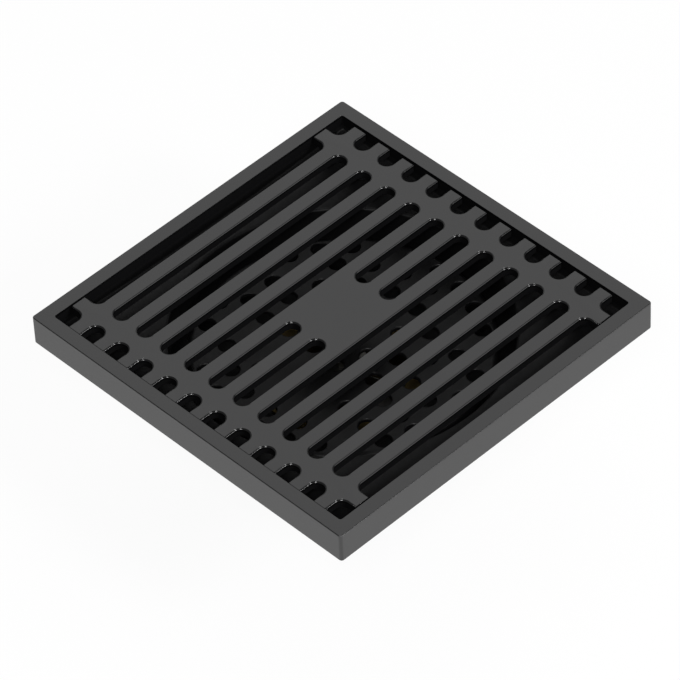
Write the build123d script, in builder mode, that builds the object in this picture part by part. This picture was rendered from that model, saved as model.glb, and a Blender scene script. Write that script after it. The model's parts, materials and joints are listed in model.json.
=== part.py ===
from build123d import *
from math import cos, hypot, radians, sqrt, tan
import os

os.makedirs("parts", exist_ok=True)

# A square shower drain with a lift-out odour-stop core. Millimetres, +Z up.
# The origin is on the outlet's axis at the lower end of the spigot.

# Square frame and its tray
frame_width = 100.0
frame_height = 8.0
frame_corner_radius = 0.8
frame_foot_radius = 0.3
frame_top_chamfer = 0.2
rim_width = 3.7
tray_corner_radius = 0.6
tray_depth = 6.3
tray_slope = 4.5

# Round bowl under the tray
bowl_radius = 40.0
bowl_wall = 2.0
bowl_depth = 20.0
bowl_inner_corner_radius = 5.0
bowl_mouth_radius = 0.6
bowl_floor_flat = 3.5
bowl_floor_fall = 0.6
bowl_bottom_thickness = 2.0
bowl_root_radius = 1.5

# Outlet spigot
overall_height = 45.0
spigot_radius = 21.0
spigot_bore_radius = 18.25
spigot_chamfer = 0.8
spigot_root_radius = 2.0

# Slotted grate
grate_thickness = 2.1
grate_gap = 0.43
grate_shift_x = 0.1
grate_shift_y = -0.4
grate_corner_radius = 0.6
slot_width = 4.35
outer_bar_width = 3.81
edge_recess = 4.22
slot_lines = 12
slot_edge_radius = 0.5
notch_length = 4.77
cross_bar = 4.55
blank_length = 19.66
grate_foot_radius = 1.3

# Soft caps on the grate's feet
cap_radius = 2.2
cap_height = 2.8
cap_sole = 1.0

# Perforated strainer, an inverted pan
strainer_drop = 11.2
strainer_gap = 3.7
strainer_taper = 1.9
strainer_gauge = 0.9
strainer_shoulder_radius = 1.6
strainer_hole_radius = 2.03
first_ring_radius = 6.7
hole_ring_margin = 4.1
hole_ring_shares = (0, 0.263, 0.529, 0.78, 1)
hole_ring_counts = (5, 10, 15, 21, 27)
hole_ring_turns = (12.0, 22.7, 5.7, 1.0, -1.8)
arch_count = 12
arch_width = 6.0
arch_height = 4.2

# Sleeve of the core
core_flange_radius = 20.2
core_flange_thickness = 1.8
core_seat_clearance = 0.3
core_clearance = 0.4
core_length = 13.4
sleeve_wall = 1.45
core_seat_chamfer = 0.8
ring_cord_radius = 0.83
ring_groove_depth = 1.3
ring_groove_width = 2.2
upper_ring_drop = 4.0
lower_ring_drop = 9.0

# Stem guide, its bush and its retaining ring
guide_drop = 10.4
guide_ledge = 1.0
guide_rim = 1.5
guide_rim_height = 2.2
guide_arms = 3
guide_arm_width = 2.2
hub_radius = 4.2
hub_height = 4.8
bush_radius = 3.0
bush_flange_radius = 3.9
bush_flange_thickness = 0.6
fit_clearance = 0.03
clip_thickness = 1.0
clip_width = 1.5
clip_groove_depth = 0.6
clip_gap = 7.0
clip_eye_radius = 1.2
clip_eye_hole_radius = 0.5
clip_eye_clearance = 0.3

# Valve: stem, plate, seal, washer, nuts and spring seat
valve_travel = 4.5
stem_radius = 2.0
stem_running_clearance = 0.05
stem_collar_radius = 3.2
stem_collar_height = 0.9
stem_tip_chamfer = 0.4
stem_end = 0.5
seal_overlap = 2.1
seal_thickness = 1.4
washer_clearance = 0.9
washer_thickness = 1.0
plate_rim = 0.6
plate_thickness = 1.5
plate_lip = 0.5
plate_crown = 0.9
nut_across_flats = 7.0
nut_height = 2.4
nut_bevel = 30.0
spring_seat_radius = 5.4
spring_seat_thickness = 0.7
spring_seat_lip = 0.8
stem_headroom = 0.9

# Return spring
spring_radius = 4.0
spring_wire_radius = 0.35
spring_turns = 4.5
spring_clearance = 0.05

# Levels, measured up from the spigot's end
top_z = overall_height
frame_underside_z = top_z - frame_height
tray_mouth_z = top_z - tray_depth
bowl_floor_z = top_z - bowl_depth
neck_z = bowl_floor_z - bowl_floor_fall
bowl_underside_z = neck_z - bowl_bottom_thickness
core_flange_z = neck_z - core_flange_thickness
core_rim_z = neck_z - core_length
grate_underside_z = top_z - grate_thickness
strainer_top_z = top_z - strainer_drop
strainer_underside_z = strainer_top_z - strainer_gauge
guide_seat_z = neck_z - guide_drop
guide_top_z = guide_seat_z + guide_rim_height
hub_top_z = guide_seat_z + hub_height
spring_foot_z = hub_top_z + bush_flange_thickness
seal_underside_z = core_rim_z - seal_thickness
plate_underside_z = seal_underside_z - plate_thickness
washer_top_z = core_rim_z + washer_thickness
stem_top_z = strainer_underside_z - stem_headroom
stem_nut_z = stem_top_z - nut_height
spring_head_z = stem_nut_z - spring_seat_thickness

# Radii that follow from what they fit
tray_width = frame_width - 2 * rim_width
grate_width = tray_width - 2 * grate_gap
slot_pitch = (grate_width - 2 * (edge_recess + outer_bar_width) - slot_width) / (slot_lines - 3)
slot_length = grate_width - 2 * (notch_length + cross_bar)
strainer_radius = bowl_radius - strainer_gap
strainer_foot_radius = strainer_radius - strainer_taper
last_ring_radius = strainer_radius - hole_ring_margin
core_seat_radius = core_flange_radius + core_seat_clearance
core_radius = spigot_bore_radius - core_clearance
ring_groove_radius = core_radius - ring_groove_depth
ring_centre_radius = (ring_groove_radius + spigot_bore_radius) / 2
clip_groove_radius = ring_groove_radius - sleeve_wall
guide_seat_radius = clip_groove_radius - clip_groove_depth
guide_radius = guide_seat_radius - fit_clearance
core_bore_radius = guide_seat_radius - guide_ledge
seal_radius = core_bore_radius + seal_overlap
plate_radius = seal_radius + plate_rim
washer_radius = core_bore_radius - washer_clearance
stem_hole_radius = stem_radius + stem_running_clearance


def tray_floor_z(x, y):
    """Height of the dished tray floor at a place outside the bowl's mouth."""
    return tray_mouth_z + (hypot(x, y) - bowl_radius) * tan(radians(tray_slope))


# Hollow of the tray: square walls standing on a shallow cone that falls to the bowl
with BuildPart() as tray_hollow:
    with BuildSketch(Plane.XZ):
        with BuildLine():
            Polyline(
                (0, tray_mouth_z),
                (bowl_radius, tray_mouth_z),
                (frame_width, tray_floor_z(frame_width, 0)),
                (frame_width, top_z + frame_height),
                (0, top_z + frame_height),
                close=True,
            )
        make_face()
    revolve(axis=Axis.Z)
    with BuildSketch(Plane.XY.offset(frame_underside_z)):
        RectangleRounded(tray_width, tray_width, tray_corner_radius)
    extrude(amount=3 * frame_height, mode=Mode.INTERSECT)

# Drain body: frame, tray, bowl and spigot cast in one piece
with BuildPart() as drain_body:
    with BuildSketch(Plane.XY.offset(frame_underside_z)):
        RectangleRounded(frame_width, frame_width, frame_corner_radius)
    extrude(amount=frame_height)
    chamfer(drain_body.edges().group_by(Axis.Z)[-1], frame_top_chamfer)
    fillet(drain_body.edges().group_by(Axis.Z)[0], frame_foot_radius)
    with BuildSketch(Plane.XZ) as bowl_outside:
        with BuildLine():
            Polyline(
                (0, bowl_underside_z),
                (bowl_radius + bowl_wall, bowl_underside_z),
                (bowl_radius + bowl_wall, frame_underside_z + frame_foot_radius),
                (0, frame_underside_z + frame_foot_radius),
                close=True,
            )
        make_face()
        fillet(
            bowl_outside.vertices().group_by(Axis.Y)[0].sort_by(Axis.X)[-1],
            bowl_inner_corner_radius + bowl_wall,
        )
    revolve(axis=Axis.Z)
    with BuildSketch(Plane.XY):
        Circle(spigot_radius)
    extrude(amount=bowl_underside_z + bowl_bottom_thickness / 2)
    chamfer(drain_body.edges().group_by(Axis.Z)[0], spigot_chamfer)
    spigot_root = drain_body.edges().filter_by(GeomType.CIRCLE).sort_by_distance(
        (spigot_radius, 0, bowl_underside_z)
    )[0]
    fillet(spigot_root, spigot_root_radius)
    bowl_root = drain_body.edges().filter_by(GeomType.CIRCLE).sort_by_distance(
        (bowl_radius + bowl_wall, 0, frame_underside_z)
    )[0]
    fillet(bowl_root, bowl_root_radius)
    add(tray_hollow.part, mode=Mode.SUBTRACT)
    with BuildSketch(Plane.XZ) as bowl_inside:
        with BuildLine():
            Polyline(
                (0, neck_z),
                (core_seat_radius, neck_z),
                (bowl_radius - bowl_inner_corner_radius - bowl_floor_flat, bowl_floor_z),
                (bowl_radius, bowl_floor_z),
                (bowl_radius, top_z),
                (0, top_z),
                close=True,
            )
        make_face()
        bowl_corner = bowl_inside.vertices().sort_by_distance((bowl_radius, bowl_floor_z))[0]
        fillet(bowl_corner, bowl_inner_corner_radius)
    revolve(axis=Axis.Z, mode=Mode.SUBTRACT)
    with Locations((0, 0, core_flange_z)):
        Cylinder(
            core_seat_radius,
            2 * core_flange_thickness,
            align=(Align.CENTER, Align.CENTER, Align.MIN),
            mode=Mode.SUBTRACT,
        )
    Cylinder(
        spigot_bore_radius,
        overall_height,
        align=(Align.CENTER, Align.CENTER, Align.MIN),
        mode=Mode.SUBTRACT,
    )
    bowl_mouth = drain_body.edges().filter_by(GeomType.CIRCLE).sort_by_distance(
        (bowl_radius, 0, tray_mouth_z)
    )[0]
    fillet(bowl_mouth, bowl_mouth_radius)
drain_body.part.label = "drain_body"
export_step(drain_body.part, "parts/drain_body.step")

# Grate: slots along Y in evenly spaced lines, open notches at both ends,
# the middle two lines broken by a blank plate, feet on the tray floor
grate_half = grate_width / 2
first_line = -(slot_lines - 1) * slot_pitch / 2
line_places = [first_line + n * slot_pitch for n in range(slot_lines)]
outer_slot_edge = grate_half - edge_recess
notch_root = grate_half - notch_length
half_slot_length = (slot_length - blank_length) / 2
half_slot_place = (slot_length + blank_length) / 4
middle = slot_lines // 2
whole_lines = line_places[1 : middle - 1] + line_places[middle + 1 : -1]
broken_lines = line_places[middle - 1 : middle + 1]
foot_place_x = (line_places[-3] + line_places[-2]) / 2
foot_place_y = notch_root - cross_bar / 2
cap_lift = cap_radius * (1 / cos(radians(tray_slope)) - 1) + fit_clearance
foot_places = []
for side_x, side_y in ((-1, -1), (1, -1), (1, 1), (-1, 1)):
    foot_x = side_x * foot_place_x + grate_shift_x
    foot_y = side_y * foot_place_y + grate_shift_y
    foot_places.append((foot_x, foot_y, tray_floor_z(foot_x, foot_y) + cap_lift))

with BuildPart() as grate:
    with BuildSketch(Plane.XY.offset(grate_underside_z)):
        with Locations((grate_shift_x, grate_shift_y)):
            RectangleRounded(grate_width, grate_width, grate_corner_radius)
        with Locations([(x + grate_shift_x, grate_shift_y) for x in whole_lines]):
            SlotOverall(slot_length, slot_width, rotation=90, mode=Mode.SUBTRACT)
        for side in (-1, 1):
            far_y = side * half_slot_place + grate_shift_y
            edge_y = side * grate_half + grate_shift_y
            edge_x = side * grate_half + grate_shift_x
            with Locations([(x + grate_shift_x, far_y) for x in broken_lines]):
                SlotOverall(half_slot_length, slot_width, rotation=90, mode=Mode.SUBTRACT)
            with Locations([(x + grate_shift_x, edge_y) for x in line_places[1:-1]]):
                SlotOverall(
                    2 * (grate_half - notch_root), slot_width, rotation=90, mode=Mode.SUBTRACT
                )
            with Locations((edge_x, grate_shift_y)):
                RectangleRounded(
                    2 * (grate_half - outer_slot_edge),
                    slot_length,
                    slot_width / 2,
                    mode=Mode.SUBTRACT,
                )
            with Locations((edge_x, grate_half + grate_shift_y), (edge_x, grate_shift_y - grate_half)):
                RectangleRounded(
                    2 * (grate_half - outer_slot_edge),
                    2 * (grate_half - notch_root),
                    slot_width / 2,
                    mode=Mode.SUBTRACT,
                )
    extrude(amount=grate_thickness)
    fillet(grate.edges().group_by(Axis.Z)[-1], slot_edge_radius)
    for foot_x, foot_y, cap_z in foot_places:
        with BuildSketch(Plane.XY.offset(cap_z + cap_sole)):
            with Locations((foot_x, foot_y)):
                Circle(grate_foot_radius)
        extrude(amount=grate_underside_z - cap_z - cap_sole)
grate.part.label = "grate"
export_step(grate.part, "parts/grate.step")

# Foot caps: domed cups pushed on the feet, standing on the sloping tray floor
for number, (foot_x, foot_y, cap_z) in enumerate(foot_places, 1):
    with BuildPart(Location((foot_x, foot_y, cap_z + cap_radius))) as foot_cap:
        Sphere(cap_radius)
        Cylinder(
            cap_radius,
            cap_height - cap_radius,
            align=(Align.CENTER, Align.CENTER, Align.MIN),
        )
        split(bisect_by=Plane.XY.offset(cap_height + cap_z), keep=Keep.BOTTOM)
        with Locations((0, 0, cap_sole - cap_radius)):
            Cylinder(
                grate_foot_radius + fit_clearance,
                cap_height,
                align=(Align.CENTER, Align.CENTER, Align.MIN),
                mode=Mode.SUBTRACT,
            )
    foot_cap.part.label = f"grate_foot_cap_{number}"
    export_step(foot_cap.part, f"parts/grate_foot_cap_{number}.step")

# Strainer: pressed from sheet, five rings of holes, arches round its standing edge
with BuildPart() as strainer:
    with BuildSketch(Plane.XZ) as pan_section:
        with BuildLine():
            Polyline(
                (0, strainer_top_z),
                (strainer_radius, strainer_top_z),
                (strainer_foot_radius, bowl_floor_z),
                (strainer_foot_radius - strainer_gauge, bowl_floor_z),
                (strainer_radius - strainer_gauge, strainer_underside_z),
                (0, strainer_underside_z),
                close=True,
            )
        make_face()
        fillet(
            pan_section.vertices().group_by(Axis.Y)[-1].sort_by(Axis.X)[-1],
            strainer_shoulder_radius,
        )
        inner_shoulder = (strainer_radius - strainer_gauge, strainer_underside_z)
        fillet(
            pan_section.vertices().sort_by_distance(inner_shoulder)[0],
            strainer_shoulder_radius - strainer_gauge,
        )
    revolve(axis=Axis.Z)
    for share, count, turn in zip(hole_ring_shares, hole_ring_counts, hole_ring_turns):
        ring_radius = first_ring_radius + share * (last_ring_radius - first_ring_radius)
        with BuildSketch(Plane.XY.offset(strainer_top_z)):
            with PolarLocations(ring_radius, count, turn):
                Circle(strainer_hole_radius)
        extrude(amount=-strainer_gauge, mode=Mode.SUBTRACT)
    arch_planes = [Plane.YZ.rotated((0, 0, n * 360 / arch_count)) for n in range(arch_count)]
    with BuildSketch(*arch_planes):
        with Locations((0, bowl_floor_z)):
            SlotOverall(2 * arch_height, arch_width, rotation=90)
    extrude(amount=strainer_radius + bowl_wall, mode=Mode.SUBTRACT)
strainer.part.label = "strainer"
export_step(strainer.part, "parts/strainer.step")

# Core sleeve: flange, two O-ring grooves, stepped bore for the guide, rim that the valve closes on
upper_ring_z = neck_z - upper_ring_drop
lower_ring_z = neck_z - lower_ring_drop

with BuildPart() as core_sleeve:
    with BuildSketch(Plane.XZ) as sleeve_section:
        with BuildLine():
            Polyline(
                (core_bore_radius, core_rim_z),
                (core_radius - core_seat_chamfer, core_rim_z),
                (core_radius, core_rim_z + core_seat_chamfer),
                (core_radius, core_flange_z),
                (core_flange_radius, core_flange_z),
                (core_flange_radius, neck_z),
                (guide_seat_radius, neck_z),
                (guide_seat_radius, guide_seat_z),
                (core_bore_radius, guide_seat_z),
                close=True,
            )
        make_face()
        fillet(
            sleeve_section.vertices().group_by(Axis.Y)[-1],
            core_seat_clearance,
        )
        with Locations((core_radius, upper_ring_z), (core_radius, lower_ring_z)):
            Rectangle(2 * ring_groove_depth, ring_groove_width, mode=Mode.SUBTRACT)
        with Locations((guide_seat_radius, guide_top_z)):
            Rectangle(
                2 * clip_groove_depth,
                clip_thickness + 2 * fit_clearance,
                align=(Align.CENTER, Align.MIN),
                mode=Mode.SUBTRACT,
            )
    revolve(axis=Axis.Z)
core_sleeve.part.label = "core_sleeve"
export_step(core_sleeve.part, "parts/core_sleeve.step")

# O-rings of the core
for ring_name, ring_z in (("core_ring_upper", upper_ring_z), ("core_ring_lower", lower_ring_z)):
    with BuildPart() as core_ring:
        with Locations((0, 0, ring_z)):
            Torus(ring_centre_radius, ring_cord_radius)
    core_ring.part.label = ring_name
    export_step(core_ring.part, f"parts/{ring_name}.step")

# Stem guide: rim on the sleeve's shoulder, arms and a hub
with BuildPart() as stem_guide:
    with BuildSketch(Plane.XY.offset(guide_seat_z)):
        Circle(guide_radius)
        Circle(guide_radius - guide_rim, mode=Mode.SUBTRACT)
        with PolarLocations(0, guide_arms):
            Rectangle(
                guide_radius - guide_rim / 2, guide_arm_width, align=(Align.MIN, Align.CENTER)
            )
    extrude(amount=guide_rim_height)
    with BuildSketch(Plane.XY.offset(guide_seat_z)):
        Circle(hub_radius)
    extrude(amount=hub_height)
    with BuildSketch(Plane.XY.offset(guide_seat_z)):
        Circle(bush_radius + fit_clearance)
    extrude(amount=hub_height, mode=Mode.SUBTRACT)
stem_guide.part.label = "stem_guide"
export_step(stem_guide.part, "parts/stem_guide.step")

# Guide bush, flanged on top as a seat for the spring
with BuildPart() as guide_bush:
    with BuildSketch(Plane.XY.offset(guide_seat_z)):
        Circle(bush_radius)
    extrude(amount=hub_height)
    with BuildSketch(Plane.XY.offset(hub_top_z)):
        Circle(bush_flange_radius)
    extrude(amount=bush_flange_thickness)
    with BuildSketch(Plane.XY.offset(guide_seat_z)):
        Circle(stem_hole_radius)
    extrude(amount=hub_height + bush_flange_thickness, mode=Mode.SUBTRACT)
guide_bush.part.label = "guide_bush"
export_step(guide_bush.part, "parts/guide_bush.step")

# Retaining ring: open ring with two eyes, sprung into the sleeve's groove
clip_radius = clip_groove_radius - fit_clearance
eye_reach = guide_seat_radius - clip_eye_clearance - clip_eye_radius
eye_place_y = clip_gap / 2 + clip_eye_radius
eye_place_x = sqrt(eye_reach**2 - eye_place_y**2)

with BuildPart() as guide_clip:
    with BuildSketch(Plane.XY.offset(guide_top_z + fit_clearance)):
        Circle(clip_radius)
        Circle(clip_radius - clip_width, mode=Mode.SUBTRACT)
        with Locations((clip_radius, 0)):
            Rectangle(2 * clip_radius, clip_gap, mode=Mode.SUBTRACT)
        with Locations((eye_place_x, -eye_place_y), (eye_place_x, eye_place_y)):
            Circle(clip_eye_radius)
            Circle(clip_eye_hole_radius, mode=Mode.SUBTRACT)
    extrude(amount=clip_thickness)
guide_clip.part.label = "guide_clip"
export_step(guide_clip.part, "parts/guide_clip.step")

# Valve stem: plain rod with a collar that sits on the washer
with BuildPart() as valve_stem:
    with BuildSketch(Plane.XY.offset(plate_underside_z - nut_height - stem_end)):
        Circle(stem_radius)
    extrude(amount=stem_top_z - plate_underside_z + nut_height + stem_end)
    chamfer(valve_stem.edges().group_by(Axis.Z)[0], stem_tip_chamfer)
    chamfer(valve_stem.edges().group_by(Axis.Z)[-1], stem_tip_chamfer)
    with BuildSketch(Plane.XY.offset(washer_top_z)):
        Circle(stem_collar_radius)
    extrude(amount=stem_collar_height)
valve_stem.part.label = "valve_stem"
export_step(valve_stem.part, "parts/valve_stem.step")

# Valve plate: a crowned disc with a low lip round the seal
plate_seal_radius = seal_radius + fit_clearance
with BuildPart() as valve_plate:
    with BuildSketch(Plane.XZ) as plate_section:
        with BuildLine():
            foot = Line((stem_hole_radius, plate_underside_z), (nut_across_flats, plate_underside_z))
            rise = Spline(
                foot @ 1,
                (plate_radius, seal_underside_z - plate_thickness + plate_crown),
                tangents=((1, 0), (1, 0.2)),
            )
            Polyline(
                rise @ 1,
                (plate_radius, seal_underside_z + plate_lip),
                (plate_seal_radius, seal_underside_z + plate_lip),
                (plate_seal_radius, seal_underside_z),
                (stem_hole_radius, seal_underside_z),
                foot @ 0,
            )
        make_face()
    revolve(axis=Axis.Z)
valve_plate.part.label = "valve_plate"
export_step(valve_plate.part, "parts/valve_plate.step")

# Valve seal: flat soft ring, closed against the sleeve's rim
with BuildPart() as valve_seal:
    with BuildSketch(Plane.XY.offset(seal_underside_z)):
        Circle(seal_radius)
        Circle(stem_hole_radius, mode=Mode.SUBTRACT)
    extrude(amount=seal_thickness)
valve_seal.part.label = "valve_seal"
export_step(valve_seal.part, "parts/valve_seal.step")

# Seal washer: stiff disc over the seal's middle
with BuildPart() as seal_washer:
    with BuildSketch(Plane.XY.offset(core_rim_z)):
        Circle(washer_radius)
        Circle(stem_hole_radius, mode=Mode.SUBTRACT)
    extrude(amount=washer_thickness)
    fillet(seal_washer.edges().group_by(Axis.Z)[-1].sort_by(SortBy.RADIUS)[-1], washer_thickness / 2)
seal_washer.part.label = "seal_washer"
export_step(seal_washer.part, "parts/seal_washer.step")

# Hexagon nuts at both ends of the stem
nut_circle = nut_across_flats / 2 / cos(radians(30))
nut_bevel_height = (nut_circle - nut_across_flats / 2) * tan(radians(nut_bevel))
for nut_name, nut_z in (("plate_nut", plate_underside_z - nut_height), ("stem_nut", stem_nut_z)):
    with BuildPart() as nut:
        with BuildSketch(Plane.XY.offset(nut_z)):
            RegularPolygon(nut_circle, 6)
        extrude(amount=nut_height)
        with BuildSketch(Plane.XZ):
            with BuildLine():
                Polyline(
                    (0, nut_z),
                    (nut_across_flats / 2, nut_z),
                    (nut_circle, nut_z + nut_bevel_height),
                    (nut_circle, nut_z + nut_height - nut_bevel_height),
                    (nut_across_flats / 2, nut_z + nut_height),
                    (0, nut_z + nut_height),
                    close=True,
                )
            make_face()
        revolve(axis=Axis.Z, mode=Mode.INTERSECT)
        with BuildSketch(Plane.XY.offset(nut_z)):
            Circle(stem_radius + fit_clearance)
        extrude(amount=nut_height, mode=Mode.SUBTRACT)
    nut.part.label = nut_name
    export_step(nut.part, f"parts/{nut_name}.step")

# Spring seat: shallow cup washer, open downwards over the spring's head
with BuildPart() as spring_seat:
    with BuildSketch(Plane.XY.offset(spring_head_z)):
        Circle(spring_seat_radius)
        Circle(stem_hole_radius, mode=Mode.SUBTRACT)
    extrude(amount=spring_seat_thickness)
    with BuildSketch(Plane.XY.offset(spring_head_z)):
        Circle(spring_seat_radius)
        Circle(spring_seat_radius - spring_seat_thickness, mode=Mode.SUBTRACT)
    extrude(amount=-spring_seat_lip)
    fillet(spring_seat.edges().group_by(Axis.Z)[-1].sort_by(SortBy.RADIUS)[-1], spring_seat_thickness / 2)
spring_seat.part.label = "spring_seat"
export_step(spring_seat.part, "parts/spring_seat.step")

# Return spring round the stem, between the bush's flange and the spring seat
coil_foot_z = spring_foot_z + spring_wire_radius + spring_clearance
coil_height = spring_head_z - spring_clearance - spring_wire_radius - coil_foot_z
with BuildPart() as return_spring:
    with BuildLine() as coil_line:
        Helix(
            coil_height / spring_turns,
            coil_height,
            spring_radius,
            center=(0, 0, coil_foot_z),
        )
    with BuildSketch(Plane(origin=coil_line.line @ 0, z_dir=coil_line.line % 0)):
        Circle(spring_wire_radius)
    sweep(is_frenet=True)
return_spring.part.label = "return_spring"
export_step(return_spring.part, "parts/return_spring.step")
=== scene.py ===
"""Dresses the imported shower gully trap: plated casting, slotted grate, strainer and sprung core."""

import json
from math import atan2, cos, degrees, hypot, pi, radians, sin, tan

import bmesh
import bpy
from mathutils import Matrix, Quaternion, Vector


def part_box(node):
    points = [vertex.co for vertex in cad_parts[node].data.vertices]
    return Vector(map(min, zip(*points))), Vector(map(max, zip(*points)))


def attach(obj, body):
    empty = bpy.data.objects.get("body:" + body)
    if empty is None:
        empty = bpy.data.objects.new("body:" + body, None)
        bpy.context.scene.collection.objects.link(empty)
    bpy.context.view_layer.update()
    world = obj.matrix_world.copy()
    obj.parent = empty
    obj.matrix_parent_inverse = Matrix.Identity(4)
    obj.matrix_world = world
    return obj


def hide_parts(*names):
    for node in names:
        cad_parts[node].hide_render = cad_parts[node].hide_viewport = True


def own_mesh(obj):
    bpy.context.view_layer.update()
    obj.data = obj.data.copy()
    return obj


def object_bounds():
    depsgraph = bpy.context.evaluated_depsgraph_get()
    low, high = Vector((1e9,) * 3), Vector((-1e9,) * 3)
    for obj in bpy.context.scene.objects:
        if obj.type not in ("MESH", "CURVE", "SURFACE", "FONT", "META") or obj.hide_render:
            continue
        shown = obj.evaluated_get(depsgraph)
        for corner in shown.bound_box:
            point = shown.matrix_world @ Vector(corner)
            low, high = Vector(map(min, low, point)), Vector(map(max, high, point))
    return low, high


bl_info = {
    "name": "Shower Gully Trap",
    "version": (1, 0, 0),
    "blender": (4, 5, 0),
    "location": "3D View > Sidebar > Gully Trap",
    "description": "Models and finishes the visible pieces of a square shower gully trap",
    "category": "Add Mesh",
}

MM = 0.001
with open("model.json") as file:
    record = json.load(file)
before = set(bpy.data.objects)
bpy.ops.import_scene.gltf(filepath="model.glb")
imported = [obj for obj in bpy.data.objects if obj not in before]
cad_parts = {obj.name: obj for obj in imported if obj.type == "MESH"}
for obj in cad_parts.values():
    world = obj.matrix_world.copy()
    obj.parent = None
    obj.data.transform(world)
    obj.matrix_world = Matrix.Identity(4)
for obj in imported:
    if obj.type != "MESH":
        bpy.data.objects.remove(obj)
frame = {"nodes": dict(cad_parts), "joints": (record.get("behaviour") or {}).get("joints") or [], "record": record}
cad_low, cad_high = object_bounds()
nodes = frame["nodes"]


def low(node):
    """Lowest corner of a node of the frame."""
    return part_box(node)[0]


def high(node):
    """Highest corner of a node of the frame."""
    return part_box(node)[1]


def length(name, value, description):
    """A length that a user can change, given in millimetres and kept in metres."""
    return bpy.props.FloatProperty(
        name=name, description=description, default=value * MM, unit="LENGTH", precision=5
    )


def finish_colour(name, hex_value, description):
    """A colour that a user can change, given as an sRGB hex value and kept linear."""
    return bpy.props.FloatVectorProperty(
        name=name,
        description=description,
        default=linear(hex_value),
        subtype="COLOR",
        size=3,
        min=0.0,
        max=1.0,
    )


def linear(hex_value):
    """An sRGB hex colour as linear red, green and blue."""
    channels = [int(hex_value[n : n + 2], 16) / 255 for n in (1, 3, 5)]
    return tuple(c / 12.92 if c <= 0.04045 else ((c + 0.055) / 1.055) ** 2.4 for c in channels)


class CastingSizes(bpy.types.PropertyGroup):
    """Sizes of the cast body: frame, tray, bowl and spigot."""

    rim_width: length("Rim width", 3.7, "Flat top of the square frame")
    side_height: length("Side height", 8.0, "Upright side of the square frame")
    outer_corner: length("Outer corner", 0.8, "Radius of the frame's upright corners")
    inner_corner: length("Inner corner", 0.6, "Radius of the tray's upright corners")
    arris: length("Arris", 0.25, "Rounding of the rim's outer edge")
    inner_arris: length("Inner arris", 0.08, "Rounding of the rim's inner edge")
    foot_radius: length("Foot radius", 0.3, "Rounding of the frame's lower edge")
    tray_depth: length("Tray depth", 6.3, "Depth of the tray where it meets the bowl")
    tray_root: length("Tray root", 0.5, "Rounding between the tray's floor and its walls")
    tray_slope: bpy.props.FloatProperty(
        name="Tray slope",
        description="Fall of the tray's floor towards the bowl",
        default=radians(4.5),
        subtype="ANGLE",
    )
    bowl_radius: length("Bowl radius", 40.0, "Inner radius of the bowl")
    bowl_wall: length("Bowl wall", 2.0, "Thickness of the bowl's wall")
    bowl_depth: length("Bowl depth", 20.0, "Depth of the bowl's floor under the rim")
    bowl_corner: length("Bowl corner", 5.0, "Inner radius at the bowl's floor")
    mouth_radius: length("Mouth radius", 0.6, "Rounding of the bowl's mouth")
    bowl_floor_fall: length("Floor fall", 0.6, "Fall of the bowl's floor to the core's seat")
    bowl_floor_flat: length("Floor flat", 3.5, "Level ring on which the strainer stands")
    bottom_thickness: length("Bottom thickness", 2.0, "Thickness under the core's seat")
    root_radius: length("Bowl root", 1.5, "Rounding between the frame and the bowl")
    seat_radius: length("Core seat", 20.5, "Radius of the recess for the core's flange")
    seat_depth: length("Core seat depth", 1.8, "Depth of the recess for the core's flange")
    spigot_radius: length("Spigot radius", 21.0, "Outer radius of the outlet spigot")
    spigot_bore: length("Spigot bore", 18.25, "Inner radius of the outlet spigot")
    spigot_root: length("Spigot root", 2.0, "Rounding between the bowl and the spigot")
    spigot_chamfer: length("Spigot chamfer", 0.8, "Chamfer on the spigot's end")


class GrateSizes(bpy.types.PropertyGroup):
    """Sizes of the slotted cover grate."""

    thickness: length("Thickness", 2.1, "Thickness of the grate")
    slot_width: length("Slot width", 4.0, "Width of each slot")
    bar_width: length("Bar width", 3.925, "Width of each bar between two slots")
    outer_bar: length("Outer bar", 3.985, "Width of the first and the last bar")
    slot_lines: bpy.props.IntProperty(
        name="Slot lines", description="Number of lines of slots", default=12, min=4
    )
    notch: length("Notch", 4.85, "Depth of the open notches at both ends")
    cross_bar: length("Cross bar", 4.37, "Width of the bars across the slots' ends")
    blank: length("Blank", 19.5, "Length of the plain plate in the middle")
    edge: length("Edge", 0.42, "Rounding of the slots' upper edges")
    outer_edge: length("Outer edge", 0.08, "Rounding of the plate's upper edge")
    foot_radius: length("Foot radius", 1.3, "Radius of the cast feet")
    foot_sole: length("Foot sole", 1.0, "Thickness of the soft cap under each foot")


class StrainerSizes(bpy.types.PropertyGroup):
    """Sizes of the perforated strainer pan."""

    gap: length("Gap", 3.7, "Gap between the strainer and the bowl")
    taper: length("Taper", 1.9, "How far the skirt draws in to its foot")
    gauge: length("Gauge", 0.9, "Thickness of the sheet")
    shoulder: length("Shoulder", 1.6, "Outer bend radius at the top")
    hole_radius: length("Hole radius", 2.03, "Radius of each hole")
    hole_lip: length("Hole lip", 0.25, "Rounding that punching leaves at each hole")
    first_ring: length("First ring", 6.7, "Radius of the innermost ring of holes")
    last_ring: length("Last ring", 32.2, "Radius of the outermost ring of holes")
    arch_width: length("Arch width", 6.0, "Width of each arch in the skirt")
    arch_height: length("Arch height", 4.2, "Height of each arch in the skirt")


class FinishColours(bpy.types.PropertyGroup):
    """Colours of the finishes."""

    plating: finish_colour("Plating", "#0a0a0b", "Satin black plating on the castings")
    sheet: finish_colour("Strainer plating", "#0f0f10", "Satin black plating on the sheet")
    # Darker than bare brass: painted shade for the dim light inside the bowl.
    brass: finish_colour("Brass", "#776844", "Bare turned brass")
    steel: finish_colour("Steel", "#7a7976", "Stainless steel")
    nitrile: finish_colour("Nitrile", "#17171a", "Black rubber")
    silicone: finish_colour("Silicone", "#a5a7a8", "Grey silicone")
    acetal: finish_colour("Acetal", "#e4e2da", "White acetal")
    floor: finish_colour("Floor", "#f4f4f4", "Studio floor")


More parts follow.
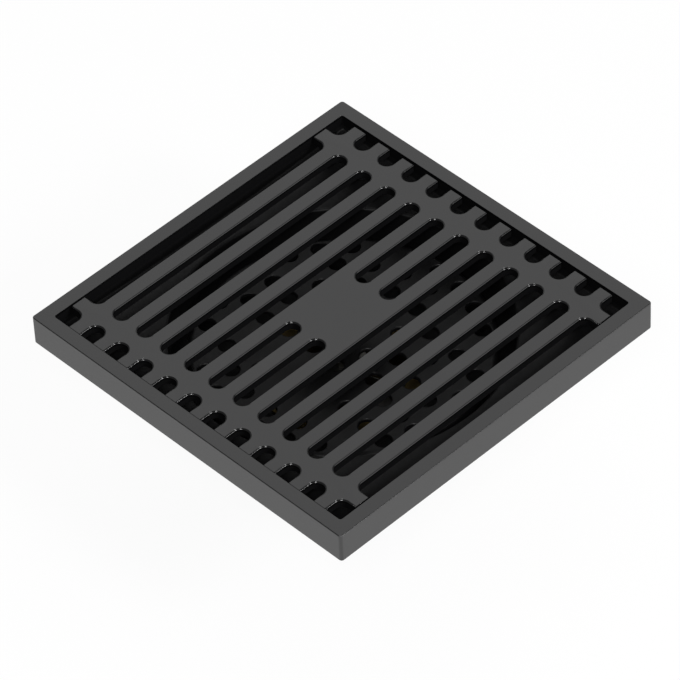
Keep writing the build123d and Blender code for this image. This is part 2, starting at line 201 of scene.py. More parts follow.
class StageSettings(bpy.types.PropertyGroup):
    """Camera and lamps."""

    azimuth: bpy.props.FloatProperty(
        name="Azimuth",
        description="Turn of the camera from the front",
        default=radians(47.23),
        subtype="ANGLE",
    )
    elevation: bpy.props.FloatProperty(
        name="Elevation",
        description="Height of the camera as an angle",
        default=radians(44.896),
        subtype="ANGLE",
    )
    roll: bpy.props.FloatProperty(
        name="Roll",
        description="Clockwise turn of the camera about its own axis",
        default=radians(2.916),
        subtype="ANGLE",
    )
    distance: length("Distance", 1164.69, "From the camera to the point that it looks at")
    aim_x: length("Aim X", 6.737, "Point on the rim's level that the camera looks at")
    aim_y: length("Aim Y", -7.125, "Point on the rim's level that the camera looks at")
    lens: bpy.props.FloatProperty(
        name="Lens", description="Focal length in millimetres", default=272.622, unit="CAMERA"
    )
    daylight: bpy.props.FloatProperty(
        name="Daylight", description="Strength of the surroundings", default=0.2
    )


GROUPS = {
    "casting_sizes": CastingSizes,
    "grate_sizes": GrateSizes,
    "strainer_sizes": StrainerSizes,
    "finish_colours": FinishColours,
    "stage_settings": StageSettings,
}


def settings(group):
    """One of the property groups, as the scene holds it."""
    return getattr(bpy.context.scene, group)


# Meshes


def walk_rings(mesh, places, count):
    """Sweeps a closed ring of points from place to place; each place gives a point for a number."""
    ring = bmesh.ops.create_circle(mesh, cap_ends=False, segments=count, radius=1.0)["verts"]
    for number, vert in enumerate(ring):
        vert.co = places[0](number)
    for place in places[1:]:
        edges = [
            edge
            for number, vert in enumerate(ring)
            for edge in vert.link_edges
            if edge.other_vert(vert) is ring[(number + 1) % count]
        ]
        made = bmesh.ops.extrude_edge_only(mesh, edges=edges)["geom"]
        new = {item for item in made if isinstance(item, bmesh.types.BMVert)}
        ring = [
            next(edge.other_vert(vert) for edge in vert.link_edges if edge.other_vert(vert) in new)
            for vert in ring
        ]
        for number, vert in enumerate(ring):
            vert.co = place(number)
    return ring


def bend(centre_x, centre_z, radius, start, end, steps):
    """Points of an arc in a section, from one angle to another in degrees."""
    turns = [radians(start + (end - start) * n / steps) for n in range(steps + 1)]
    return [(centre_x + radius * cos(a), centre_z + radius * sin(a)) for a in turns]


def round_place(radius, z, angles):
    """A ring of points on a circle, at the given angles."""
    return lambda n: Vector((radius * cos(angles[n]), radius * sin(angles[n]), z))


def smooth(data, sharpest):
    """Shades a mesh smoothly, except across edges that turn by more than an angle in degrees."""
    data.shade_smooth()
    data.set_sharp_from_angle(angle=radians(sharpest))


def new_piece(name, mesh, slot, sharpest=32.0):
    """Makes an object of a finished mesh, fixed to the drain, with the finish of a slot."""
    data = bpy.data.meshes.new(name)
    mesh.to_mesh(data)
    mesh.free()
    smooth(data, sharpest)
    piece = bpy.data.objects.new(name, data)
    bpy.context.scene.collection.objects.link(piece)
    data.materials.append(material_of(slot))
    even = piece.modifiers.new("even_shading", "WEIGHTED_NORMAL")
    even.keep_sharp = True
    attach(piece, "drain")
    return piece


def cut_out(piece, cutters):
    """Cuts a mesh of closed tools out of a piece, and leaves a plain mesh."""
    data = bpy.data.meshes.new("cutters")
    cutters.to_mesh(data)
    cutters.free()
    tool = bpy.data.objects.new("cutters", data)
    bpy.context.scene.collection.objects.link(tool)
    cut = piece.modifiers.new("cut", "BOOLEAN")
    cut.operation = "DIFFERENCE"
    cut.solver = "EXACT"
    cut.object = tool
    bpy.context.view_layer.update()
    graph = bpy.context.evaluated_depsgraph_get()
    result = bpy.data.meshes.new_from_object(piece.evaluated_get(graph))
    piece.modifiers.remove(cut)
    if not result.polygons:
        raise RuntimeError(f"the cut left nothing of {piece.name}")
    piece.data = result
    bpy.data.objects.remove(tool)


# Materials


def add_node(tree, kind, inputs=(), **values):
    """Adds a shader node with its settings, its sockets' values and its links."""
    node = tree.nodes.new(kind)
    for key, value in values.items():
        setattr(node, key, value)
    for socket, value in dict(inputs).items():
        if isinstance(value, bpy.types.NodeSocket):
            tree.links.new(value, node.inputs[socket])
        else:
            node.inputs[socket].default_value = value
    return node


def new_material(name):
    """A material with nothing but a principled shader wired to its output."""
    material = bpy.data.materials.new(name)
    material.use_nodes = True
    tree = material.node_tree
    tree.nodes.clear()
    shader = add_node(tree, "ShaderNodeBsdfPrincipled")
    add_node(tree, "ShaderNodeOutputMaterial", {"Surface": shader.outputs["BSDF"]})
    return material, tree, shader


def shade(colour, factor):
    """A linear colour made lighter or darker, with full alpha."""
    return tuple(min(1.0, c * factor) for c in colour) + (1.0,)


def mottle(tree, place, grain, low_value, high_value):
    """Noise of a real grain size, spread between two values."""
    noise = add_node(
        tree,
        "ShaderNodeTexNoise",
        {"Vector": place, "Scale": 1.0 / grain, "Detail": 3.0, "Roughness": 0.55},
    )
    return add_node(
        tree,
        "ShaderNodeMapRange",
        {"Value": noise.outputs[0], 1: 0.3, 2: 0.7, 3: low_value, 4: high_value},
    ).outputs[0]


def cloud_colour(tree, shader, place, colour, grain, darkest, lightest):
    """Lets the base colour drift between a darker and a lighter tone of itself."""
    tone = add_node(
        tree,
        "ShaderNodeMix",
        {
            0: mottle(tree, place, grain, 0.0, 1.0),
            6: shade(colour, darkest),
            7: shade(colour, lightest),
        },
        data_type="RGBA",
    )
    tree.links.new(tone.outputs[2], shader.inputs["Base Color"])


def pit_surface(tree, shader, place, size, strength):
    """Gives a surface the shallow pits that grit, rolls or a mould leave."""
    pits = add_node(
        tree,
        "ShaderNodeTexNoise",
        {"Vector": place, "Scale": 1.0 / size, "Detail": 2.0},
    )
    relief = add_node(
        tree,
        "ShaderNodeBump",
        {"Height": pits.outputs[0], "Strength": strength, "Distance": 0.02 * MM},
    )
    tree.links.new(relief.outputs[0], shader.inputs["Normal"])


def satin_black_plating(name, colour, roughness, gloss, uneven):
    """Satin black plating on metal: a dull skin with a fine grain."""
    material, tree, shader = new_material(name)
    place = add_node(tree, "ShaderNodeTexCoord").outputs["Object"]
    cloud_colour(tree, shader, place, colour, 9 * MM, 0.92, 1.08)
    sheen = mottle(tree, place, uneven, roughness - 0.04, roughness + 0.04)
    tree.links.new(sheen, shader.inputs["Roughness"])
    shader.inputs["Specular IOR Level"].default_value = gloss
    # Grit and rolls leave pits about 0.1 mm across; they are drawn at twice that to show.
    pit_surface(tree, shader, place, 0.2 * MM, 0.12)
    return material


def work_casting(material, top_skin, side_skin, wall_skin):
    """Gives a plated casting other skins, each a roughness and a gloss, where it was worked."""
    tree = material.node_tree
    shader = next(n for n in tree.nodes if n.type == "BSDF_PRINCIPLED")
    place = add_node(tree, "ShaderNodeTexCoord").outputs["Object"]
    apart = add_node(tree, "ShaderNodeSeparateXYZ", {0: place})
    out_x, out_y = (
        add_node(tree, "ShaderNodeMath", {0: apart.outputs[axis]}, operation="ABSOLUTE").outputs[0]
        for axis in ("X", "Y")
    )
    farther = add_node(tree, "ShaderNodeMath", {0: out_x, 1: out_y}, operation="MAXIMUM")
    summed = add_node(tree, "ShaderNodeMath", {0: out_x, 1: out_y}, operation="ADD")
    top = high("drain_body").z
    width = high("drain_body").x
    corner = settings("casting_sizes").outer_corner

    # Before plating, a belt ground the faces at the rim's level and the frame's four sides, and
    # a cutter left the slots' walls rough. So the eye meets a soft sheen on the first, nearly
    # black walls in the slots, and a plain blasted skin in the tray and the bowl. Each of these
    # skins fades in between two heights, or between two distances from the middle.
    on_top, on_wall, on_side, on_corner = (
        add_node(tree, "ShaderNodeMapRange", {"Value": value, 1: start, 2: end}).outputs[0]
        for value, start, end in (
            (apart.outputs["Z"], top - 0.9 * MM, top - 0.6 * MM),
            (apart.outputs["Z"], top - 3.4 * MM, top - 2.8 * MM),
            (farther.outputs[0], width - 0.16 * MM, width - 0.04 * MM),
            (summed.outputs[0], 2 * width - 1.25 * corner, 2 * width - corner),
        )
    )
    on_flank = add_node(tree, "ShaderNodeMath", {0: on_side, 1: on_corner}, operation="MAXIMUM")
    cast_skin = (
        shader.inputs["Roughness"].links[0].from_socket,
        shader.inputs["Specular IOR Level"].default_value,
    )
    for number, socket in enumerate(("Roughness", "Specular IOR Level")):
        skin = cast_skin[number]
        for part, worked in (
            (on_wall, wall_skin),
            (on_top, top_skin),
            (on_flank.outputs[0], side_skin),
        ):
            skin = add_node(tree, "ShaderNodeMix", {0: part, 2: skin, 3: worked[number]}).outputs[0]
        tree.links.new(skin, shader.inputs[socket])


def turned_metal(name, colour, roughness, feed):
    """Bare metal off the lathe: fine rings round the axis and a slightly uneven shine."""
    material, tree, shader = new_material(name)
    shader.inputs["Metallic"].default_value = 1.0
    place = add_node(tree, "ShaderNodeTexCoord").outputs["Object"]
    cloud_colour(tree, shader, place, colour, 4 * MM, 0.9, 1.05)
    sheen = mottle(tree, place, 0.8 * MM, roughness - 0.06, roughness + 0.06)
    tree.links.new(sheen, shader.inputs["Roughness"])

    # The tool's marks lie one feed apart, too fine to show, so they are drawn nearly twice as
    # far apart. At a scale of 1 the texture's rings are pi / 10 apart.
    ring_spacing = 1.948 * feed
    rings = add_node(
        tree,
        "ShaderNodeTexWave",
        {"Vector": place, "Scale": pi / 10 / ring_spacing, "Distortion": 0.4},
        wave_type="RINGS",
        rings_direction="Z",
    )
    relief = add_node(
        tree,
        "ShaderNodeBump",
        {"Height": rings.outputs["Fac"], "Strength": 0.06, "Distance": 0.01 * MM},
    )
    tree.links.new(relief.outputs[0], shader.inputs["Normal"])
    return material


def moulded_skin(name, colour, roughness, bloom):
    """Rubber or plastic with a faint bloom and the fine skin of its mould."""
    material, tree, shader = new_material(name)
    place = add_node(tree, "ShaderNodeTexCoord").outputs["Object"]
    cloud_colour(tree, shader, place, colour, 2.5 * MM, 1.0 - bloom, 1.0 + bloom)
    shader.inputs["Roughness"].default_value = roughness
    # A mould's spark-eroded skin has a grain of about 0.1 mm; it is drawn coarser to show.
    pit_surface(tree, shader, place, 0.25 * MM, 0.1)
    return material


FINISH_NAMES = {
    "black_plated_brass": "blasted_brass_plated_black",
    "black_plated_sheet": "rolled_sheet_plated_black",
    "bare_brass": "turned_brass",
    "stainless_steel": "turned_stainless_steel",
    "black_rubber": "moulded_nitrile_rubber",
    "grey_silicone": "moulded_silicone",
    "white_plastic": "moulded_acetal",
}


def material_of(slot):
    """The finish of one of the record's material slots, made once."""
    name = FINISH_NAMES[slot]
    colours = settings("finish_colours")
    if name in bpy.data.materials:
        return bpy.data.materials[name]
    if slot == "black_plated_brass":
        # Cast brass, blasted, worked and plated: near black, with a sheen where it was ground.
        plated = satin_black_plating(
            name, colours.plating, roughness=0.58, gloss=0.28, uneven=1.4 * MM
        )
        work_casting(plated, top_skin=(0.15, 0.5), side_skin=(0.42, 0.95), wall_skin=(0.65, 0.1))
        return plated
    if slot == "black_plated_sheet":
        # Rolled and punched sheet, plated: one soft sheen that is slightly cloudy.
        return satin_black_plating(name, colours.sheet, roughness=0.42, gloss=0.28, uneven=5 * MM)
    if slot == "bare_brass":
        # Brass from the lathe, in a colour darker than bare brass that paints the shade of the dim bowl: dark,
        # warm glints there.
        return turned_metal(name, colours.brass, roughness=0.34, feed=0.12 * MM)
    if slot == "stainless_steel":
        # Steel from the lathe: greyer and duller than the brass, with coarser rings.
        return turned_metal(name, colours.steel, roughness=0.42, feed=0.15 * MM)
    if slot == "black_rubber":
        # Moulded nitrile rubber: matt black with a grey bloom.
        return moulded_skin(name, colours.nitrile, roughness=0.6, bloom=0.1)
    if slot == "grey_silicone":
        # Moulded silicone: pale and smooth, with a dull shine.
        return moulded_skin(name, colours.silicone, roughness=0.5, bloom=0.05)
    # Moulded acetal: milky white with a soft shine.
    return moulded_skin(name, colours.acetal, roughness=0.35, bloom=0.03)


# Pieces


class TRAP_OT_casting(bpy.types.Operator):
    """The cast body: square frame, dished tray, bowl and spigot"""

    bl_idname = "trap.casting"
    bl_label = "Cast body"

    def execute(self, context):
        s = settings("casting_sizes")
        top = high("drain_body").z
        half = high("drain_body").x
        tray_half = half - s.rim_width
        corner = s.outer_corner
        corner_points = 7
        side_points = 33
        root_steps = 4

        # Each ring has the same stations: a cluster at each corner of the square, the rest
        # evenly turned along its sides.
        corner_turns = [n / (corner_points - 1) * pi / 2 for n in range(corner_points)]
        half_corner = pi / 4 - atan2(half - corner, half)
        stations = []
        for quarter in range(4):
            for turn in corner_turns:
                stations.append(("corner", quarter, turn))
            for n in range(1, side_points + 1):
                share = n / (side_points + 1)
                stations.append(("side", quarter, half_corner + share * (pi / 2 - 2 * half_corner)))
        count = len(stations)

        def square_point(number, half_width, radius):
            """A station's point on a square with rounded corners."""
            kind, quarter, turn = stations[number]
            if kind == "corner":
                x = half_width - radius + radius * cos(turn)
                y = half_width - radius + radius * sin(turn)
            else:
                y = half_width
                x = half_width * tan(pi / 4 - turn)
            return Matrix.Rotation(quarter * pi / 2, 2) @ Vector((x, y))

        angles = []
        for number in range(count):
            point = square_point(number, half, corner)
            angles.append(atan2(point.y, point.x))

        def square_place(half_width, radius, z):
            """A ring of points on a square with rounded corners."""
            return lambda n: square_point(n, half_width, radius).to_3d() + Vector((0, 0, z))

        mouth_z = top - s.tray_depth

        def tray_z(x, y):
            """Height of the tray's floor, which falls towards the bowl."""
            return mouth_z + (hypot(x, y) - s.bowl_radius) * tan(s.tray_slope)

        def floor_place(share):
            """Points on the tray's floor, between the bowl's mouth and the walls' roots."""

            def place(n):
                start = s.bowl_radius + s.mouth_radius
                inner = Vector((start * cos(angles[n]), start * sin(angles[n])))
                outer = square_point(n, tray_half - s.tray_root, s.inner_corner)
                point = inner.lerp(outer, share)
                return point.to_3d() + Vector((0, 0, tray_z(point.x, point.y)))

            return place

        def root_place(turn):
            """Points on the rounding between the tray's floor and its walls."""

            def place(n):
                out = tray_half - s.tray_root * (1 - sin(turn))
                point = square_point(n, out, s.inner_corner)
                root = square_point(n, tray_half - s.tray_root, s.inner_corner)
                lift = s.tray_root * (1 - cos(turn))
                return point.to_3d() + Vector((0, 0, tray_z(root.x, root.y) + lift))

            return place

        # From the bowl's mouth out over the tray, up its walls and over the rim
        places = []
        mouth = s.mouth_radius
        tray_turn = 90 + degrees(s.tray_slope)
        for r, z in bend(s.bowl_radius + mouth, mouth_z - mouth, mouth, 180, tray_turn, 5):
            places.append(round_place(r, z, angles))
        for share in (0.0, 0.3, 0.65, 1.0):
            places.append(floor_place(share))
        for step in range(1, root_steps + 1):
            places.append(root_place(radians(90 * step / root_steps)))
        inner_arris = s.inner_arris
        for r, z in bend(tray_half + inner_arris, top - inner_arris, inner_arris, 180, 90, 4):
            places.append(square_place(r, s.inner_corner + (r - tray_half), z))
        arris = s.arris
        for r, z in bend(half - arris, top - arris, arris, 90, 0, 4):
            places.append(square_place(r, corner - (half - r), z))

        # Down the frame's side to its underside
        underside = top - s.side_height
        foot = s.foot_radius
        smallest_corner = 0.05 * MM
        for r, z in bend(half - foot, underside + foot, foot, 0, -90, 7):
            places.append(square_place(r, max(corner - (half - r), smallest_corner), z))

        # Round the outside of the bowl and the spigot, up the bore and over the bowl's floor
        outer = s.bowl_radius + s.bowl_wall
        neck = top - s.bowl_depth - s.bowl_floor_fall
        bottom = neck - s.bottom_thickness
        outer_corner = s.bowl_corner + s.bowl_wall
        section = []
        section += bend(outer + s.root_radius, underside - s.root_radius, s.root_radius, 90, 180, 6)
        section += bend(outer - outer_corner, bottom + outer_corner, outer_corner, 0, -90, 12)
        section += bend(
            s.spigot_radius + s.spigot_root, bottom - s.spigot_root, s.spigot_root, 90, 180, 6
        )
        section += [
            (s.spigot_radius, s.spigot_chamfer),
            (s.spigot_radius - s.spigot_chamfer, 0.0),
            (s.spigot_bore, 0.0),
            (s.spigot_bore, neck - s.seat_depth),
            (s.seat_radius, neck - s.seat_depth),
            (s.seat_radius, neck),
            (s.bowl_radius - s.bowl_corner - s.bowl_floor_flat, top - s.bowl_depth),
        ]
        bowl_corner = s.bowl_corner
        section += bend(
            s.bowl_radius - bowl_corner, top - s.bowl_depth + bowl_corner, bowl_corner, -90, 0, 12
        )
        for r, z in section:
            places.append(round_place(r, z, angles))
        places.append(places[0])

        mesh = bmesh.new()
        walk_rings(mesh, places, count)
        bmesh.ops.remove_doubles(mesh, verts=mesh.verts, dist=0.001 * MM)
        bmesh.ops.recalc_face_normals(mesh, faces=mesh.faces)
        piece = new_piece("drain_casting", mesh, "black_plated_brass")
        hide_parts("drain_body")
        return {"FINISHED"}


class TRAP_OT_grate(bpy.types.Operator):
    """The slotted cover grate with its four feet"""

    bl_idname = "trap.grate"
    bl_label = "Grate"

    arc_steps = 9

    def slot_place(self, low_x, high_x, low_y, high_y, radius, z):
        """A ring of points round an upright opening with rounded corners."""
        steps = self.arc_steps

        def place(number):
            quarter, step = divmod(number, steps + 1)
            turn = (quarter + step / steps) * pi / 2
            x = high_x - radius if quarter in (0, 3) else low_x + radius
            y = high_y - radius if quarter in (0, 1) else low_y + radius
            return Vector((x + radius * cos(turn), y + radius * sin(turn), z))

        return place

    def add_slot(self, mesh, low_x, high_x, low_y, high_y):
        """Adds a tool that cuts one slot and rounds its upper edge."""
        s = settings("grate_sizes")
        radius = s.slot_width / 2

        # The rounding stops just before it is level, so that the tool crosses the plate's top
        # at an angle and leaves a clean edge.
        section = [(0.0, -2 * s.thickness), (0.0, -s.edge)]
        section += bend(s.edge, -s.edge, s.edge, 180, 92, 6)[1:]
        section += [(s.edge, s.thickness)]
        places = [
            self.slot_place(low_x - out, high_x + out, low_y - out, high_y + out, radius + out, z)
            for out, z in section
        ]
        walk_rings(mesh, places, 4 * (self.arc_steps + 1))

    def execute(self, context):
        s = settings("grate_sizes")
        width = high("grate").x - low("grate").x
        half = width / 2
        middle_of_plate = (high("grate") + low("grate")) / 2
        top = high("grate").z
        pitch = s.slot_width + s.bar_width
        notch_root = half - s.notch
        slot_end = notch_root - s.cross_bar
        beyond = half + s.slot_width
        middle = s.slot_lines // 2
        recess = (s.slot_lines - 3) / 2 * pitch + s.slot_width / 2 + s.outer_bar

        # Plate with a rounded upper edge
        mesh = bmesh.new()
        bmesh.ops.create_cube(mesh, size=1.0)
        bmesh.ops.scale(mesh, verts=mesh.verts, vec=Vector((width, width, s.thickness)))
        bmesh.ops.translate(mesh, verts=mesh.verts, vec=Vector((0, 0, -s.thickness / 2)))
        rim = [e for e in mesh.edges if min(v.co.z for v in e.verts) > -0.01 * MM]
        bmesh.ops.bevel(
            mesh,
            geom=rim,
            offset=s.outer_edge,
            offset_type="OFFSET",
            affect="EDGES",
            segments=4,
            profile=0.5,
            material=-1,
        )
        piece = new_piece("grate_plate", mesh, "black_plated_brass")

        # Slots, open notches at both ends, and open recesses along the outer lines
        cutters = bmesh.new()
        for line in range(s.slot_lines):
            x = (line - (s.slot_lines - 1) / 2) * pitch
            low_x = x - s.slot_width / 2
            high_x = x + s.slot_width / 2
            if line == 0:
                low_x, high_x = -beyond, -recess
            if line == s.slot_lines - 1:
                low_x, high_x = recess, beyond
            self.add_slot(cutters, low_x, high_x, notch_root, beyond)
            self.add_slot(cutters, low_x, high_x, -beyond, -notch_root)
            if line in (middle - 1, middle):
                self.add_slot(cutters, low_x, high_x, s.blank / 2, slot_end)
                self.add_slot(cutters, low_x, high_x, -slot_end, -s.blank / 2)
            else:
                self.add_slot(cutters, low_x, high_x, -slot_end, slot_end)
        rims = [e for e in cutters.edges if len(e.link_faces) == 1]
        bmesh.ops.holes_fill(cutters, edges=rims, sides=4 * (self.arc_steps + 1))
        bmesh.ops.recalc_face_normals(cutters, faces=cutters.faces)
        cut_out(piece, cutters)

        # Cast feet, standing in their soft caps
        mesh = bmesh.new()
        mesh.from_mesh(piece.data)
        place = Vector((middle_of_plate.x, middle_of_plate.y, top))
        bmesh.ops.translate(mesh, verts=mesh.verts, vec=place)
        for number in range(1, 5):
            cap_low, cap_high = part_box(f"grate_foot_cap_{number}")
            centre = (cap_low + cap_high) / 2
            foot_low = cap_low.z + s.foot_sole
            foot_high = top - s.thickness + 0.2 * MM
            bmesh.ops.create_cone(
                mesh,
                cap_ends=True,
                segments=32,
                radius1=s.foot_radius,
                radius2=s.foot_radius,
                depth=foot_high - foot_low,
                matrix=Matrix.Translation((centre.x, centre.y, (foot_low + foot_high) / 2)),
            )
        mesh.to_mesh(piece.data)
        mesh.free()
        smooth(piece.data, sharpest=40.0)
        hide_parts("grate")
        return {"FINISHED"}


class TRAP_OT_strainer(bpy.types.Operator):
    """The perforated strainer pan"""

    bl_idname = "trap.strainer"
    bl_label = "Strainer"

    # Each ring of holes: its share of the way out, its number of holes and its turn in degrees
    hole_rings = ((0, 5, 12.0), (0.263, 10, 22.7), (0.529, 15, 5.7), (0.78, 21, 1.0), (1, 27, -1.8))
    arches = 12
    round_points = 144
    hole_points = 28

    def execute(self, context):
        s = settings("strainer_sizes")
        top = high("strainer").z
        foot_z = low("strainer").z
        radius = settings("casting_sizes").bowl_radius - s.gap
        foot = radius - s.taper
        lean = atan2(s.taper, top - foot_z)
        angles = [2 * pi * n / self.round_points for n in range(self.round_points)]

        def shoulder(bend_radius, wall, z):
            """The bend between the level top and the leaning skirt."""
            centre_x = wall - bend_radius * tan(pi / 4 + lean / 2)
            return bend(centre_x, z - bend_radius, bend_radius, 90, -degrees(lean), 8)

        section = shoulder(s.shoulder, radius, top)
        section += [(foot, foot_z), (foot - s.gauge, foot_z)]
        section += reversed(shoulder(s.shoulder - s.gauge, radius - s.gauge, top - s.gauge))
        mesh = bmesh.new()
        walk_rings(mesh, [round_place(r, z, angles) for r, z in section], self.round_points)
        rims = [e for e in mesh.edges if len(e.link_faces) == 1]
        bmesh.ops.holes_fill(mesh, edges=rims, sides=self.round_points)
        bmesh.ops.recalc_face_normals(mesh, faces=mesh.faces)
        piece = new_piece("strainer_pan", mesh, "black_plated_sheet")

        # Punched holes, each with the small rounding that the punch draws at its edge, which
        # stops just before it is level, as on the slots
        cutters = bmesh.new()
        lip = [(s.hole_radius, top - 2 * s.gauge), (s.hole_radius, top - s.hole_lip)]
        lip += bend(s.hole_radius + s.hole_lip, top - s.hole_lip, s.hole_lip, 180, 96, 3)[1:]
        lip += [(s.hole_radius + s.hole_lip, top + s.gauge)]
        hole_points = self.hole_points
        hole_angles = [2 * pi * n / hole_points for n in range(hole_points)]
        for share, count, turn in self.hole_rings:
            ring = s.first_ring + share * (s.last_ring - s.first_ring)
            for n in range(count):
                at = radians(turn + 360 * n / count)
                start = len(cutters.verts)
                walk_rings(cutters, [round_place(r, z, hole_angles) for r, z in lip], hole_points)
                cutters.verts.ensure_lookup_table()
                own = cutters.verts[start:]
                bmesh.ops.translate(
                    cutters, verts=own, vec=Vector((ring * cos(at), ring * sin(at), 0))
                )
        open_rims = [e for e in cutters.edges if len(e.link_faces) == 1]
        bmesh.ops.holes_fill(cutters, edges=open_rims, sides=hole_points)

        # Arches round the standing edge
        for n in range(self.arches):
            start = len(cutters.verts)
            bmesh.ops.create_cone(
                cutters,
                cap_ends=True,
                segments=32,
                radius1=s.arch_width / 2,
                radius2=s.arch_width / 2,
                depth=6 * s.gauge,
                matrix=Matrix.Rotation(pi / 2, 4, "Y"),
            )
            cutters.verts.ensure_lookup_table()
            own = cutters.verts[start:]
            lower = [v for v in own if v.co.z < -0.01 * MM]
            bmesh.ops.translate(cutters, verts=lower, vec=Vector((0, 0, -s.arch_height)))
            arch_z = foot_z + s.arch_height - s.arch_width / 2
            bmesh.ops.translate(cutters, verts=own, vec=Vector((foot, 0, arch_z)))
            bmesh.ops.rotate(
                cutters,
                verts=own,
                cent=Vector((0, 0, 0)),
                matrix=Matrix.Rotation(2 * pi * n / self.arches, 3, "Z"),
            )
        bmesh.ops.recalc_face_normals(cutters, faces=cutters.faces)
        cut_out(piece, cutters)
        smooth(piece.data, sharpest=40.0)
        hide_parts("strainer")
        return {"FINISHED"}


class TRAP_OT_spring(bpy.types.Operator):
    """The return spring of the valve"""

    bl_idname = "trap.spring"
    bl_label = "Return spring"

    wire_radius = 0.35 * MM
    coil_radius = 4.0 * MM
    steps_per_turn = 28

    def execute(self, context):
        spring_low, spring_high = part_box("return_spring")
        foot = spring_low.z + self.wire_radius
        rise = spring_high.z - spring_low.z - 2 * self.wire_radius
        upright = Matrix.Rotation(pi / 2, 4, "X")

        # Turns and rise of the closed coil at each end and of the open coils between them
        end_rise = 2.1 * self.wire_radius
        coils = ((1.0, end_rise), (3.5, rise - 2 * end_rise), (1.0, end_rise))
        mesh = bmesh.new()
        start = bmesh.ops.create_circle(
            mesh,
            cap_ends=True,
            segments=12,
            radius=self.wire_radius,
            matrix=Matrix.Translation((self.coil_radius, 0, foot)) @ upright,
        )["verts"]
        section = list({item for v in start for item in (v, *v.link_edges, *v.link_faces)})
        for turns, height in coils:
            steps = round(turns * self.steps_per_turn)
            section = bmesh.ops.spin(
                mesh,
                geom=section,
                cent=Vector((0, 0, 0)),
                axis=Vector((0, 0, 1)),
                dvec=Vector((0, 0, height / steps)),
                angle=turns * 2 * pi,
                steps=steps,
                use_merge=False,
                use_duplicate=False,
            )["geom_last"]
        bmesh.ops.recalc_face_normals(mesh, faces=mesh.faces)
        piece = new_piece("closing_spring", mesh, "stainless_steel", sharpest=60.0)
        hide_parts("return_spring")
        joint = next(j for j in frame["joints"] if j["name"] == "valve_travel")
        travel = max(joint["range_m"])
        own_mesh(piece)
        return {"FINISHED"}


class TRAP_OT_core_finish(bpy.types.Operator):
    """Finishes of the pieces that keep their machined shape"""

    bl_idname = "trap.core_finish"
    bl_label = "Core and caps"

    def execute(self, context):
        slots = {part["node"]: part["material_slot"] for part in frame["record"]["subparts"]}
        for name, node in nodes.items():
            if node.hide_render:
                continue
            if not node.material_slots:
                raise RuntimeError(f"{name} has no material slot")
            for material_slot in node.material_slots:
                material_slot.material = material_of(slots[name])
        return {"FINISHED"}


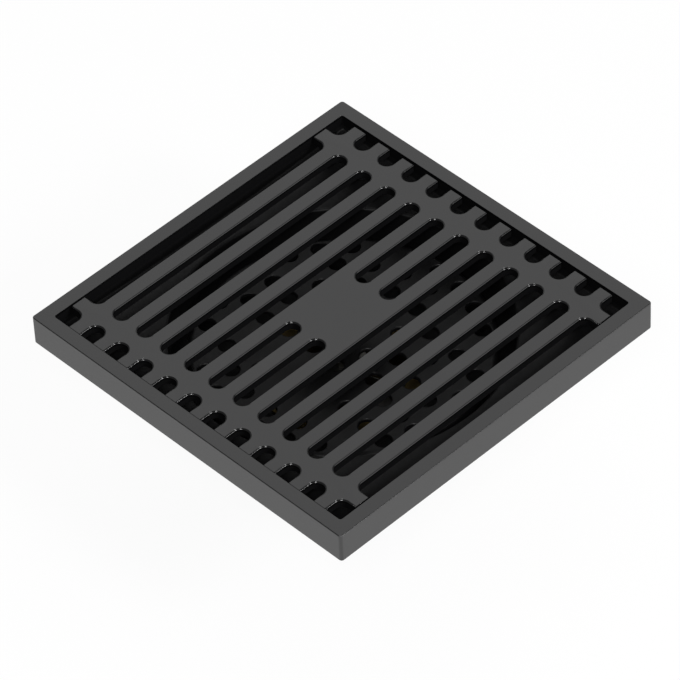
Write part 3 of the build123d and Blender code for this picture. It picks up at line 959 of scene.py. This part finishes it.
class TRAP_OT_stage(bpy.types.Operator):
    """Pale floor, plain soft light and the camera"""

    bl_idname = "trap.stage"
    bl_label = "Stage"

    floor_reach = 4.0
    white_share = 0.93

    # Each lamp: its name, its place and its width in metres, and its power in watts
    lamps = (
        ("back_softbox", (-0.73, 0.68, 1.0), 1.5, 6.4),
        ("front_lamp", (0.65, -0.71, 1.04), 0.36, 9.5),
        ("right_lamp", (1.1, 0.22, 0.87), 0.36, 10.0),
        ("right_fill", (1.0, 0.69, 0.76), 0.8, 3.0),
    )

    def execute(self, context):
        s = settings("stage_settings")
        colours = settings("finish_colours")
        top = cad_high.z

        # Floor: nearly white to the camera, in reflections and through clear things. The share
        # that stays painted keeps the object's soft shadow.
        mesh = bmesh.new()
        bmesh.ops.create_grid(mesh, x_segments=1, y_segments=1, size=self.floor_reach)
        data = bpy.data.meshes.new("studio_floor")
        mesh.to_mesh(data)
        mesh.free()
        floor = bpy.data.objects.new("studio_floor", data)
        bpy.context.scene.collection.objects.link(floor)
        floor.location.z = cad_low.z - 0.02 * MM
        material, tree, shader = new_material("painted_floor")
        shader.inputs["Base Color"].default_value = shade(colours.floor, 1.0)
        shader.inputs["Roughness"].default_value = 0.8
        glow = add_node(tree, "ShaderNodeEmission", {"Color": (1, 1, 1, 1), "Strength": 1.0})
        path = add_node(tree, "ShaderNodeLightPath")
        seen = add_node(
            tree,
            "ShaderNodeMath",
            {0: path.outputs["Is Camera Ray"], 1: path.outputs["Is Glossy Ray"]},
            operation="MAXIMUM",
        )
        seen = add_node(
            tree,
            "ShaderNodeMath",
            {0: seen.outputs[0], 1: path.outputs["Is Transmission Ray"]},
            operation="MAXIMUM",
        )
        seen = add_node(
            tree,
            "ShaderNodeMath",
            {0: seen.outputs[0], 1: self.white_share},
            operation="MULTIPLY",
        )
        blend = add_node(
            tree,
            "ShaderNodeMixShader",
            {0: seen.outputs[0], 1: shader.outputs[0], 2: glow.outputs[0]},
        )
        output = next(n for n in tree.nodes if n.type == "OUTPUT_MATERIAL")
        tree.links.new(blend.outputs[0], output.inputs["Surface"])
        data.materials.append(material)

        # Surroundings: a dim, even room, which leaves the lamps to shape the object
        world = bpy.data.worlds.new("daylight")
        context.scene.world = world
        world.use_nodes = True
        tree = world.node_tree
        tree.nodes.clear()
        light = add_node(
            tree, "ShaderNodeBackground", {"Color": (1, 1, 1, 1), "Strength": s.daylight}
        )
        add_node(tree, "ShaderNodeOutputWorld", {"Surface": light.outputs[0]})

        for name, place, size, power in self.lamps:
            lamp = bpy.data.lights.new(name, "AREA")
            lamp.shape = "DISK"
            lamp.size = size
            lamp.energy = power
            holder = bpy.data.objects.new(name, lamp)
            context.scene.collection.objects.link(holder)
            holder.location = Vector(place)
            towards = Vector((0, 0, top)) - holder.location
            holder.rotation_mode = "QUATERNION"
            holder.rotation_quaternion = towards.to_track_quat("-Z", "Y")

        camera = bpy.data.cameras.new("photo_camera")
        camera.sensor_width = 36.0
        camera.lens = s.lens
        camera.clip_start = 0.05
        camera.clip_end = 50.0
        holder = bpy.data.objects.new("photo_camera", camera)
        context.scene.collection.objects.link(holder)
        back = Vector(
            (
                sin(s.azimuth) * cos(s.elevation),
                -cos(s.azimuth) * cos(s.elevation),
                sin(s.elevation),
            )
        )
        holder.location = Vector((s.aim_x, s.aim_y, top)) + back * s.distance
        holder.rotation_mode = "QUATERNION"
        level = (-back).to_track_quat("-Z", "Y")
        holder.rotation_quaternion = level @ Quaternion((0, 0, 1), -s.roll)
        context.scene.camera = holder
        context.scene.view_settings.view_transform = "Standard"
        return {"FINISHED"}


OPERATORS = (
    TRAP_OT_casting,
    TRAP_OT_grate,
    TRAP_OT_strainer,
    TRAP_OT_spring,
    TRAP_OT_core_finish,
    TRAP_OT_stage,
)


class TRAP_PT_panel(bpy.types.Panel):
    """Buttons and sizes of the gully trap"""

    bl_idname = "TRAP_PT_panel"
    bl_label = "Gully Trap"
    bl_space_type = "VIEW_3D"
    bl_region_type = "UI"
    bl_category = "Gully Trap"

    def draw(self, context):
        for operator in OPERATORS:
            self.layout.operator(operator.bl_idname)
        for group in GROUPS:
            box = self.layout.box()
            box.label(text=group.replace("_", " "))
            for key in GROUPS[group].__annotations__:
                box.prop(settings(group), key)


def register():
    """Registers the groups, the operators and the panel."""
    for name, group in GROUPS.items():
        bpy.utils.register_class(group)
        setattr(bpy.types.Scene, name, bpy.props.PointerProperty(type=group))
    for item in (*OPERATORS, TRAP_PT_panel):
        bpy.utils.register_class(item)


def unregister():
    """Takes back what register did."""
    for item in (TRAP_PT_panel, *reversed(OPERATORS)):
        bpy.utils.unregister_class(item)
    for name, group in GROUPS.items():
        delattr(bpy.types.Scene, name)
        bpy.utils.unregister_class(group)


def main():
    register()
    bpy.ops.trap.casting()
    bpy.ops.trap.grate()
    bpy.ops.trap.strainer()
    bpy.ops.trap.spring()
    bpy.ops.trap.core_finish()
    bpy.ops.trap.stage()


if __name__ == "__main__":
    main()
